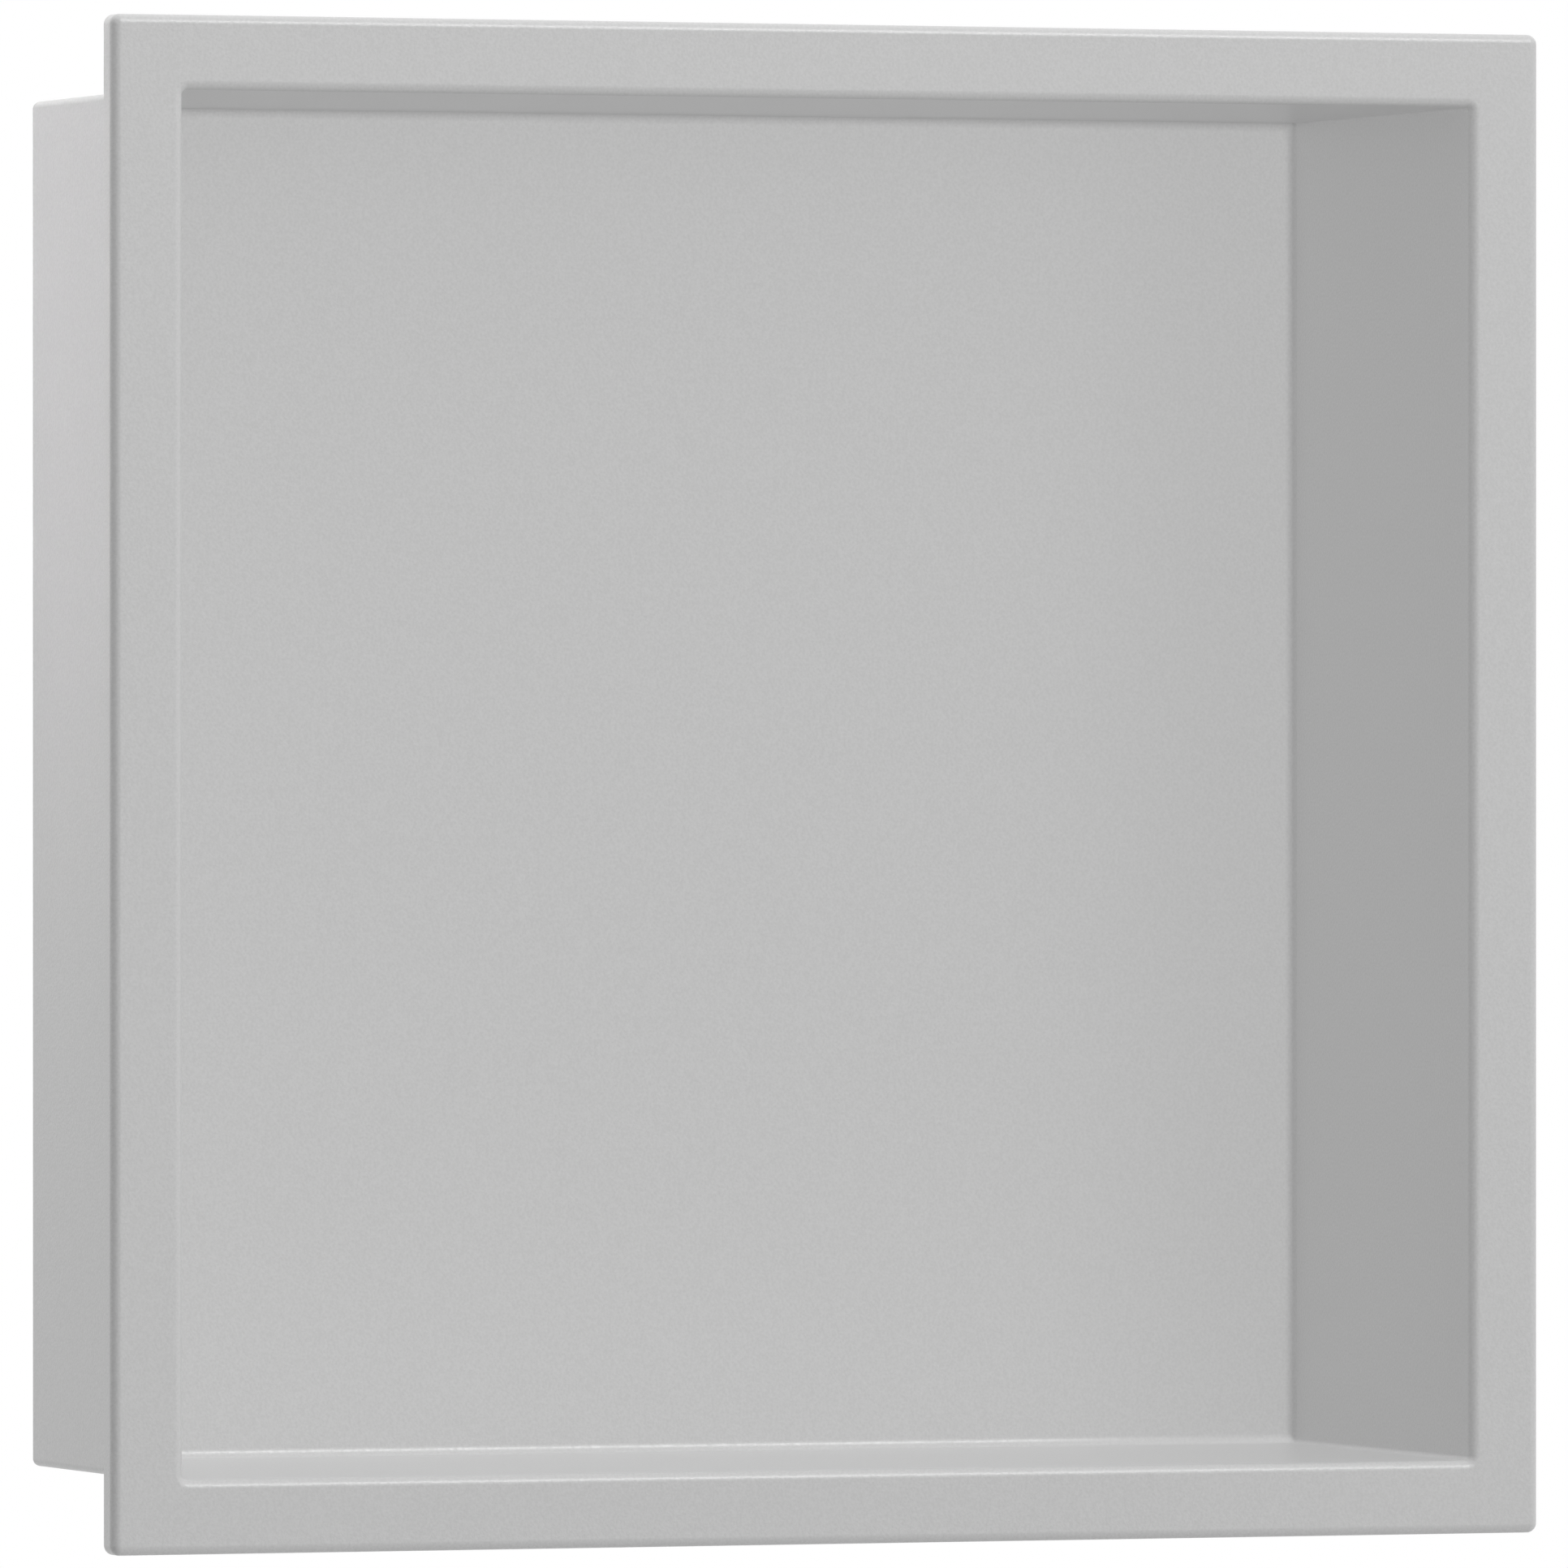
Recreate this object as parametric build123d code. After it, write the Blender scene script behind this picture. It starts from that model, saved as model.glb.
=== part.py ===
"""Recessed shower niche: an open tub with a flat frame, folded and welded from one gauge of sheet steel.

Frame of the part: +X to the right and +Z up as seen from the room, +Y into the wall. The origin is at the
middle of the opening, on the wall plane that the frame's folded rim stands on.
"""
import os

from build123d import *

# Driving dimensions, in millimetres
inside_width = 300.0  # clear space between the side walls
inside_height = 300.0  # clear space between floor and ceiling
recess_depth = 100.0  # wall plane to the back panel, inside
frame_border = 16.25  # inside wall to the outer edge of the frame, on every side
frame_stand_off = 6.2  # wall plane to the front of the frame
sheet = 1.0  # thickness of the sheet steel
bend_inner_radius = 1.1  # folds of the rim and of the mouth edge, on the hidden side
back_inner_radius = 2.2  # folds round the back panel, seen from the room
wall_corner_radius = 1.0  # welded corners between neighbouring walls, seen from the room
ground_corner_radius = 1.6  # the same corners outside, where the weld is ground round
face_corner_radius = 0.1  # corners of the frame's flat front face

# Derived sizes
tub_width = inside_width + 2 * sheet
tub_height = inside_height + 2 * sheet
frame_width = inside_width + 2 * frame_border
frame_height = inside_height + 2 * frame_border
front_y = -frame_stand_off
back_y = recess_depth + sheet
bend_outer_radius = bend_inner_radius + sheet
frame_corner_radius = face_corner_radius + bend_outer_radius


def prism(width, height, start_y, end_y, corner_radius):
    """Rounded rectangle centred on the Y axis, from one depth to another."""
    section = Plane.XZ.offset(-start_y) * RectangleRounded(width, height, corner_radius)
    return extrude(section, amount=-(end_y - start_y))


def folded_trough(width, end_y, fold_radius, length):
    """Trough with its mouth towards the room and two folds at its back, running up along Z."""
    depth = end_y - front_y
    section = Pos(0, front_y + depth / 2) * Rectangle(width, depth)
    section = fillet(section.vertices().group_by(Axis.Y)[-1], fold_radius)
    return extrude(section, amount=length / 2, both=True)


def tub_form(width, height, end_y, fold_radius, corner_radius):
    """Tub space: an upright and a lying trough crossed, with the four long corners rounded."""
    upright = folded_trough(width, end_y, fold_radius, height)
    lying = Rot(0, 90, 0) * folded_trough(height, end_y, fold_radius, width)
    return upright & lying & prism(width, height, front_y, end_y, corner_radius)


def front_edges(body):
    return body.faces().sort_by(Axis.Y)[0].edges()


def niche_tray():
    tub = tub_form(tub_width, tub_height, back_y, back_inner_radius + sheet, ground_corner_radius)
    cavity = tub_form(inside_width, inside_height, recess_depth, back_inner_radius, wall_corner_radius)

    # The frame starts as a full block, so that the rim fold and the rolled mouth edge are cut together
    frame = prism(frame_width, frame_height, front_y, 0, frame_corner_radius)
    tray = frame + tub - cavity
    tray = fillet(front_edges(tray), bend_outer_radius)

    # The space behind the frame leaves the front, the rim and both folds at sheet thickness
    behind_frame = prism(
        frame_width - 2 * sheet, frame_height - 2 * sheet, front_y + sheet, 0, frame_corner_radius - sheet
    )
    behind_frame -= tub
    behind_frame = fillet(front_edges(behind_frame), bend_inner_radius)
    return tray - behind_frame


os.makedirs("parts", exist_ok=True)
tray = niche_tray()
export_step(tray, "parts/niche_tray.step")
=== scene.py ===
import math

import bpy
import numpy as np
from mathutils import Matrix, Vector


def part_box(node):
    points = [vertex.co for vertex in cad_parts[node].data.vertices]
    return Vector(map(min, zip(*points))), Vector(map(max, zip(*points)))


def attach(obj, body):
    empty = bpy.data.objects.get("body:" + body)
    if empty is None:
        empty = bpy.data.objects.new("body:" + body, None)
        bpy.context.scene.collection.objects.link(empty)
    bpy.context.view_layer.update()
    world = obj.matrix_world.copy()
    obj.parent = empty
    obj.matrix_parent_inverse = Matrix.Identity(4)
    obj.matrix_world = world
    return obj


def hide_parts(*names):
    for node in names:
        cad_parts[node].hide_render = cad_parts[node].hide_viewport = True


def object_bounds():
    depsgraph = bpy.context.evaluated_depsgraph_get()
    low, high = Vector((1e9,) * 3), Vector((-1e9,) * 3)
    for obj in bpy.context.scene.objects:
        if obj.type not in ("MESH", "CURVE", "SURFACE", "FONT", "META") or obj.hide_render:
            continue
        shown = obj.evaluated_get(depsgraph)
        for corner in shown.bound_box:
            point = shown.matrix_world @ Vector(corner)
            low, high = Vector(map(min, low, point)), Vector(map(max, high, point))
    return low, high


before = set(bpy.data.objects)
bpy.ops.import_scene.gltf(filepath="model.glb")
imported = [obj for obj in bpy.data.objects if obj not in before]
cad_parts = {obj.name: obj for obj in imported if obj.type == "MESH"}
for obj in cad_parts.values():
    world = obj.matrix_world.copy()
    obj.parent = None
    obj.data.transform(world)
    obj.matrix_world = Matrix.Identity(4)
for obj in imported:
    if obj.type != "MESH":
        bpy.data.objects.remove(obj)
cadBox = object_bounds()
mm = 0.001
print("frame loaded:", sorted(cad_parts))


# sRGB hex to linear light: each channel has the display curve taken off it
def linearColour(hexColour):
    channels = [int(hexColour[i:i + 2], 16) / 255 for i in (1, 3, 5)]
    return [c / 12.92 if c <= 0.04045 else ((c + 0.055) / 1.055) ** 2.4 for c in channels] + [1.0]


# adds one node with its settings; an input is a plain value or the socket that feeds it
def addNode(tree, kind, settings=None, inputs=None):
    node = tree.nodes.new(kind)
    for name, value in (settings or {}).items():
        setattr(node, name, value)
    for name, value in (inputs or {}).items():
        if isinstance(value, bpy.types.NodeSocket):
            tree.links.new(value, node.inputs[name])
        else:
            node.inputs[name].default_value = value
    return node


# an empty material and its node tree
def newMaterial(name):
    material = bpy.data.materials.new(name)
    material.use_nodes = True
    material.node_tree.nodes.clear()
    return material, material.node_tree


# unit way from the niche towards an azimuth and an elevation: 0 is straight in front, 90 is to its right
def wayTowards(azimuth, elevation):
    turn, tilt = math.radians(azimuth), math.radians(elevation)
    return Vector((math.sin(turn) * math.cos(tilt), -math.cos(turn) * math.cos(tilt), math.sin(tilt)))


# stands a camera or a lamp at a place, turned to look back along the way that leads there
def standAt(standing, place, way):
    standing.location = place
    standing.rotation_euler = (-way).to_track_quat("-Z", "Y").to_euler()
    bpy.context.scene.collection.objects.link(standing)


# the folded tray: sizes of the sheet and its folds, and how finely they are drawn
trayLook = {
    "sheet": 1.0 * mm,
    "frameBorder": 16.25 * mm,    # inside wall to the frame's outer edge
    "foldRadius": 2.1 * mm,       # rim fold and mouth edge, on the side that shows
    "backRadius": 2.2 * mm,       # folds round the back panel, seen from the room
    "wallCorner": 1.0 * mm,       # welded corners between the walls, seen from the room
    "groundCorner": 1.6 * mm,     # the same corners outside, where the weld is ground round
    "faceCorner": 0.1 * mm,       # corners of the flat front face
    "edgeRound": 0.2 * mm,        # coated cut edge of the rim
    "samePoint": 1e-7,            # section points closer than this are drawn once
    "foldSteps": 14,
    "edgeSteps": 4,
    "cornerSteps": 10,
    "sideSteps": 24,
    "wallSteps": 10,
    "faceSteps": 3,
    "panelRings": 10,
    "flatWeight": 100,            # how far large faces rule the shading of the points they share
}


# quarter turn of a fold: points at a radius round a centre, from one angle to another;
# angle 0 points outwards along the wall, 90 points into it
def foldArc(centreOut, centreDepth, radius, fromDeg, toDeg, steps):
    turn = np.radians(np.linspace(fromDeg, toDeg, steps + 1))
    return centreOut + radius * np.cos(turn), centreDepth + radius * np.sin(turn)


# section of the sheet from the middle of the back panel, out over the frame to the rim, and back behind
# it: how far each point lies outside the inside wall, its depth, and the radius of the corner there
def traySection(look, front, back, half):
    sheet, border = look["sheet"], look["frameBorder"]
    fold, hiddenFold = look["foldRadius"], look["foldRadius"] - look["sheet"]
    inBack, outBack = look["backRadius"], look["backRadius"] + look["sheet"]
    edge, edgeSteps, steps = look["edgeRound"], look["edgeSteps"], look["foldSteps"]
    bendDepth = back - sheet - inBack
    rows = []

    def add(out, depth, corner):
        out, depth = np.broadcast_arrays(np.asarray(out, float), np.asarray(depth, float))
        rows.append(np.stack([out, depth, np.broadcast_to(corner, out.shape)], axis=1))

    panel = np.linspace(-half, -inBack, look["panelRings"] + 1)
    panelCorner = look["wallCorner"] * (panel + half) / (half - inBack)
    wall = np.linspace(bendDepth, front + fold, look["wallSteps"] + 1)
    face = np.linspace(fold, border - fold, look["faceSteps"] + 1)
    faceCorner = np.linspace(look["wallCorner"] + fold, look["faceCorner"], look["faceSteps"] + 1)
    hiddenCorner = look["groundCorner"] - sheet    # corners behind the mouth edge share one centre
    rimCorner = look["faceCorner"] - (border - fold)    # corners of the rim folds share one centre
    strip = np.linspace(front + fold, -edge, look["faceSteps"] + 1)

    add(panel, back - sheet, panelCorner)
    add(*foldArc(-inBack, bendDepth, inBack, 90, 0, steps), look["wallCorner"])
    add(0, wall, look["wallCorner"])
    out, depth = foldArc(fold, front + fold, fold, 180, 270, steps)
    add(out, depth, look["wallCorner"] + out)
    add(face, front, faceCorner)
    out, depth = foldArc(border - fold, front + fold, fold, 270, 360, steps)
    add(out, depth, rimCorner + out)
    add(border, strip, rimCorner + border)
    out, depth = foldArc(border - edge, -edge, edge, 0, 90, edgeSteps)
    add(out, depth, rimCorner + out)
    out, depth = foldArc(border - sheet + edge, -edge, edge, 90, 180, edgeSteps)
    add(out, depth, rimCorner + out)
    add(border - sheet, strip[::-1], rimCorner + border - sheet)
    out, depth = foldArc(border - fold, front + fold, hiddenFold, 360, 270, steps)
    add(out, depth, rimCorner + out)
    add(face[::-1], front + sheet, faceCorner[::-1])
    out, depth = foldArc(fold, front + fold, hiddenFold, 270, 180, steps)
    add(out, depth, hiddenCorner + out)
    add(sheet, wall[::-1], look["groundCorner"])
    add(*foldArc(-inBack, bendDepth, outBack, 0, 90, steps), look["groundCorner"])
    add(panel[::-1], back, panelCorner[::-1])

    section = np.concatenate(rows)
    moved = np.linalg.norm(np.diff(section[:, :2], axis=0), axis=1) > look["samePoint"]
    return section[np.concatenate([[True], moved])]


# walk round a rectangle, corner by corner: where on the shrunken rectangle each point stands, as shares of
# its half sides, and the way that it then steps out by the corner's radius
def rectangleWalk(cornerSteps, sideSteps):
    corners = np.array([[1, 1], [-1, 1], [-1, -1], [1, -1]], float)
    stand, step = [], []
    for k in range(4):
        turn = np.radians(90 * k + np.linspace(0, 90, cornerSteps + 1))
        stand.append(np.repeat(corners[k:k + 1], cornerSteps + 1, axis=0))
        step.append(np.stack([np.cos(turn), np.sin(turn)], axis=1))
        along = np.linspace(0, 1, sideSteps + 1)[1:-1, None]
        stand.append(corners[k] + along * (corners[(k + 1) % 4] - corners[k]))
        step.append(np.repeat(step[-1][-1:], sideSteps - 1, axis=0))
    return np.concatenate(stand), np.concatenate(step)


# carries the section round the rectangle: each point is its stand times the half sides less the corner's
# radius, plus the step times that radius, at the section's depth; both ends close to one point
def makeTray(name, look):
    low, high = (np.array(v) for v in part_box(name))
    front, back = low[1], high[1]
    halfSides = np.array([high[0], high[2]]) - look["frameBorder"]
    section = traySection(look, front, back, halfSides.min())
    stand, step = rectangleWalk(look["cornerSteps"], look["sideSteps"])
    out, depth, corner = section[:, 0], section[:, 1], section[:, 2]
    sides = halfSides + out[:, None] - corner[:, None]
    plan = stand[None] * sides[:, None] + step[None] * corner[:, None, None]
    grid = np.stack([plan[..., 0], np.broadcast_to(depth[:, None], plan.shape[:2]), plan[..., 1]], axis=2)

    rings, around = grid.shape[0] - 2, grid.shape[1]
    points = np.concatenate([grid[0, :1], grid[1:-1].reshape(-1, 3), grid[-1, :1]])
    index = 1 + np.arange(rings * around).reshape(rings, around)
    ahead = np.roll(index, -1, axis=1)
    quads = np.stack([index[:-1], index[1:], ahead[1:], ahead[:-1]], axis=2).reshape(-1, 4)
    lastPoint = len(points) - 1
    startFan = np.stack([np.zeros(around, int), index[0], ahead[0]], axis=1)
    endFan = np.stack([np.full(around, lastPoint), ahead[-1], index[-1]], axis=1)

    mesh = bpy.data.meshes.new(name + "_skin")
    mesh.from_pydata(points.tolist(), [], quads.tolist() + startFan.tolist() + endFan.tolist())
    mesh.shade_smooth()
    mesh.update()
    piece = bpy.data.objects.new(name + "_skin", mesh)
    bpy.context.scene.collection.objects.link(piece)
    flatFaces = piece.modifiers.new("flat faces", "WEIGHTED_NORMAL")    # flats shade flat, folds shade round
    flatFaces.weight = look["flatWeight"]
    return piece


trayPiece = makeTray("niche_tray", trayLook)
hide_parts("niche_tray")
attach(trayPiece, "root")
print("tray made:", len(trayPiece.data.polygons), "faces")


# powder-coated stainless steel: dry paint baked on in a fine matt texture, so light spreads softly and the
# folds carry broad dull highlights; its grain is tiny pits and grains, the pits a little darker and duller
coatLook = {
    "pitColour": "#bbbbbb",
    "grainColour": "#c0c0c0",
    "pitRoughness": 0.32,
    "grainRoughness": 0.28,
    "pitShine": 0.35,             # Specular IOR Level, 0.5 in the middle as for plain paint
    "grainShine": 0.65,
    "grainSize": 0.6 * mm,        # a little coarser than the real grain, so that it shows
    "grainHeight": 0.05 * mm,
    "grainSpread": (0.3, 0.7),    # noise values that count as full pit and full grain
    "grainDetail": 2.0,           # finer noise laid over the grain, twice
    "grainFade": 0.5,             # each finer noise is half as strong
}


def powderCoat(look):
    material, tree = newMaterial("powder-coated stainless steel")
    place = addNode(tree, "ShaderNodeTexCoord")
    noise = addNode(tree, "ShaderNodeTexNoise", inputs={
        "Vector": place.outputs["Object"],
        "Scale": 1 / look["grainSize"],
        "Detail": look["grainDetail"],
        "Roughness": look["grainFade"],
    })
    grain = addNode(tree, "ShaderNodeMapRange", inputs={
        "Value": noise.outputs["Fac"],
        "From Min": look["grainSpread"][0],
        "From Max": look["grainSpread"][1],
    })
    colour = addNode(tree, "ShaderNodeMixRGB", inputs={
        "Fac": grain.outputs["Result"],
        "Color1": linearColour(look["pitColour"]),
        "Color2": linearColour(look["grainColour"]),
    })
    dullness = addNode(tree, "ShaderNodeMapRange", inputs={
        "Value": grain.outputs["Result"],
        "To Min": look["pitRoughness"],
        "To Max": look["grainRoughness"],
    })
    shine = addNode(tree, "ShaderNodeMapRange", inputs={
        "Value": grain.outputs["Result"],
        "To Min": look["pitShine"],
        "To Max": look["grainShine"],
    })
    relief = addNode(tree, "ShaderNodeBump", inputs={
        "Height": noise.outputs["Fac"],
        "Strength": 1.0,
        "Distance": look["grainHeight"],
    })
    shader = addNode(tree, "ShaderNodeBsdfPrincipled", inputs={
        "Base Color": colour.outputs["Color"],
        "Roughness": dullness.outputs["Result"],
        "Specular IOR Level": shine.outputs["Result"],
        "Normal": relief.outputs["Normal"],
    })
    addNode(tree, "ShaderNodeOutputMaterial", inputs={"Surface": shader.outputs["BSDF"]})
    return material


trayPiece.data.materials.append(powderCoat(coatLook))
print("coat made")


# camera fitted to the niche's edges in the photograph: square picture, long lens, a little to the left
cameraLook = {
    "sensorWidth": 36.0,    # Blender's own, in millimetres as the lens is
    "picturePixels": 1932,
    "focalPixels": 21662,
    "azimuth": -20.085,
    "elevation": 0.116,
    "distance": 3.8407,
    "aimRight": -12.19 * mm,
    "aimUp": 0.07 * mm,
}


def makeCamera(look):
    data = bpy.data.cameras.new("camera")
    data.sensor_width = look["sensorWidth"]
    data.lens = look["sensorWidth"] * look["focalPixels"] / look["picturePixels"]
    camera = bpy.data.objects.new("camera", data)
    way = wayTowards(look["azimuth"], look["elevation"])
    aim = Vector((look["aimRight"], cadBox[0].y, look["aimUp"]))
    standAt(camera, aim + look["distance"] * way, way)
    bpy.context.scene.camera = camera


makeCamera(cameraLook)
print("camera set")


# studio: a light tent of even fill that throws no shadow and shows in no reflection, so that walls deep in
# the niche stay clear; one key from above and behind that throws the shadow on the floor; and soft boxes
# that show only as highlights; way is the azimuth and elevation that a lamp's light comes from
lampLooks = {
    "frontFill": {"kind": "fill", "way": (20, 15), "distance": 2.0, "width": 1.0, "power": 4.6},
    "highFill": {"kind": "fill", "way": (0, 60), "distance": 1.2, "width": 0.8, "power": 2.8},
    "leftHighFill": {"kind": "fill", "way": (-120, 35), "distance": 0.7, "width": 0.4, "power": 1.03},
    "rightFill": {"kind": "fill", "way": (48, 4), "power": 1.32},
    "topFill": {"kind": "fill", "way": (-20, 80), "power": 1.02},
    "lowFill": {"kind": "fill", "way": (0, -80), "power": 0.46},
    "leftFill": {"kind": "fill", "way": (-150, 0), "power": 0.55},
    "backKey": {"kind": "key", "way": (180, 70), "power": 0.6},
    "frontBox": {"kind": "box", "way": (20, 2), "distance": 2.0, "width": 2.0, "power": 3.9},
    "softBox": {"kind": "box", "way": (24, 38), "distance": 2.0, "width": 0.8, "power": 15.2},
    "leftBox": {"kind": "box", "way": (-160, 17), "distance": 2.0, "width": 1.2, "power": 2.2},
}
# a lamp with no distance of its own is a far one: it lights evenly, from a patch this many degrees wide,
# and the distance here only says where it is drawn
farLook = {"distance": 3.0, "spread": 30}


def makeLamp(name, look):
    near = "distance" in look
    data = bpy.data.lights.new(name, "AREA" if near else "SUN")
    data.energy = look["power"]
    if near:
        data.size = look["width"]
    else:
        data.angle = math.radians(farLook["spread"])
    data.use_shadow = look["kind"] != "fill"
    data.cycles.use_multiple_importance_sampling = False    # its light then stays the same beside other lamps
    lamp = bpy.data.objects.new(name, data)
    lamp.visible_camera = False
    lamp.visible_diffuse = look["kind"] != "box"
    lamp.visible_glossy = look["kind"] == "box"
    way = wayTowards(*look["way"])
    standAt(lamp, look.get("distance", farLook["distance"]) * way, way)


for lampName, lampLook in lampLooks.items():
    makeLamp(lampName, lampLook)
print("lamps set:", len(lampLooks))


# 1 for a ray from the camera, off a shiny surface or through a clear one, and 0 for any other ray
def seenByEye(tree):
    path = addNode(tree, "ShaderNodeLightPath")
    seen = path.outputs["Is Camera Ray"]
    for ray in ("Is Glossy Ray", "Is Transmission Ray"):
        either = addNode(tree, "ShaderNodeMath", {"operation": "MAXIMUM"}, {0: seen, 1: path.outputs[ray]})
        seen = either.outputs["Value"]
    return seen


# white surroundings: plain white to the eye and in reflections, a lower even light on matt surfaces
worldLook = {"ambient": 0.4, "white": 1.0}


def makeWorld(look):
    world = bpy.data.worlds.new("white surroundings")
    bpy.context.scene.world = world
    world.use_nodes = True
    world.cycles.sampling_method = "NONE"    # an even glow needs no lamp rays
    tree = world.node_tree
    tree.nodes.clear()
    strength = addNode(tree, "ShaderNodeMapRange", inputs={
        "Value": seenByEye(tree), "To Min": look["ambient"], "To Max": look["white"]})
    glow = addNode(tree, "ShaderNodeBackground", inputs={
        "Color": linearColour("#ffffff"), "Strength": strength.outputs["Result"]})
    addNode(tree, "ShaderNodeOutputWorld", inputs={"Surface": glow.outputs["Background"]})


makeWorld(worldLook)
bpy.context.scene.view_settings.view_transform = "Standard"
print("surroundings set")


# floor well below the niche, as for a thing that hangs on a wall: pale matt card under it, which keeps its
# shadow, and further out plain white that joins the surroundings
floorLook = {
    "drop": 120 * mm,          # below the lowest point of the frame
    "radius": 9.0,
    "colour": "#e2e2e2",
    "lift": 0.25,              # share of white that the eye adds near the niche
    "whiteFrom": 0.5,          # how far out that share starts to grow
    "whiteAt": 1.5,            # how far out it is plain white
    "rings": 6,
    "around": 96,
}


# flat disc: rings of points at a radius that grows with the square of the ring's number, each at an angle
# round the circle, with one point in the middle
def makeFloor(look):
    radius = look["radius"] * (np.arange(1, look["rings"] + 1) / look["rings"]) ** 2
    turn = np.linspace(0, 2 * np.pi, look["around"], endpoint=False)
    level = cadBox[0].z - look["drop"]
    ring = np.stack([np.cos(turn), np.sin(turn), np.zeros_like(turn)], axis=1)
    points = (radius[:, None, None] * ring[None]).reshape(-1, 3)
    points = np.concatenate([np.zeros((1, 3)), points]) + [0, 0, level]
    index = 1 + np.arange(look["rings"] * look["around"]).reshape(look["rings"], look["around"])
    ahead = np.roll(index, -1, axis=1)
    quads = np.stack([index[:-1], index[1:], ahead[1:], ahead[:-1]], axis=2).reshape(-1, 4)
    fan = np.stack([np.zeros(look["around"], int), index[0], ahead[0]], axis=1)
    mesh = bpy.data.meshes.new("floor")
    mesh.from_pydata(points.tolist(), [], quads.tolist() + fan.tolist())
    mesh.update()
    floor = bpy.data.objects.new("floor", mesh)
    bpy.context.scene.collection.objects.link(floor)
    return floor


def paleCard(look):
    material, tree = newMaterial("pale matt card")
    place = addNode(tree, "ShaderNodeTexCoord")
    away = addNode(tree, "ShaderNodeVectorMath", {"operation": "LENGTH"}, {0: place.outputs["Object"]})
    white = addNode(tree, "ShaderNodeMapRange", {"interpolation_type": "SMOOTHSTEP"}, {
        "Value": away.outputs["Value"], "From Min": look["whiteFrom"], "From Max": look["whiteAt"],
        "To Min": look["lift"], "To Max": 1.0})
    share = addNode(tree, "ShaderNodeMath", {"operation": "MULTIPLY"}, {
        0: white.outputs["Result"], 1: seenByEye(tree)})
    card = addNode(tree, "ShaderNodeBsdfDiffuse", inputs={"Color": linearColour(look["colour"])})
    glow = addNode(tree, "ShaderNodeEmission", inputs={"Color": linearColour("#ffffff"), "Strength": 1.0})
    mixed = addNode(tree, "ShaderNodeMixShader", inputs={
        0: share.outputs["Value"], 1: card.outputs["BSDF"], 2: glow.outputs["Emission"]})
    addNode(tree, "ShaderNodeOutputMaterial", inputs={"Surface": mixed.outputs["Shader"]})
    material.cycles.emission_sampling = "NONE"    # its white is for the eye and isn't used as a lamp
    return material


floorPiece = makeFloor(floorLook)
floorPiece.data.materials.append(paleCard(floorLook))
floorPiece.visible_diffuse = False    # it takes light and shadow, and throws none back on the niche
print("floor laid")
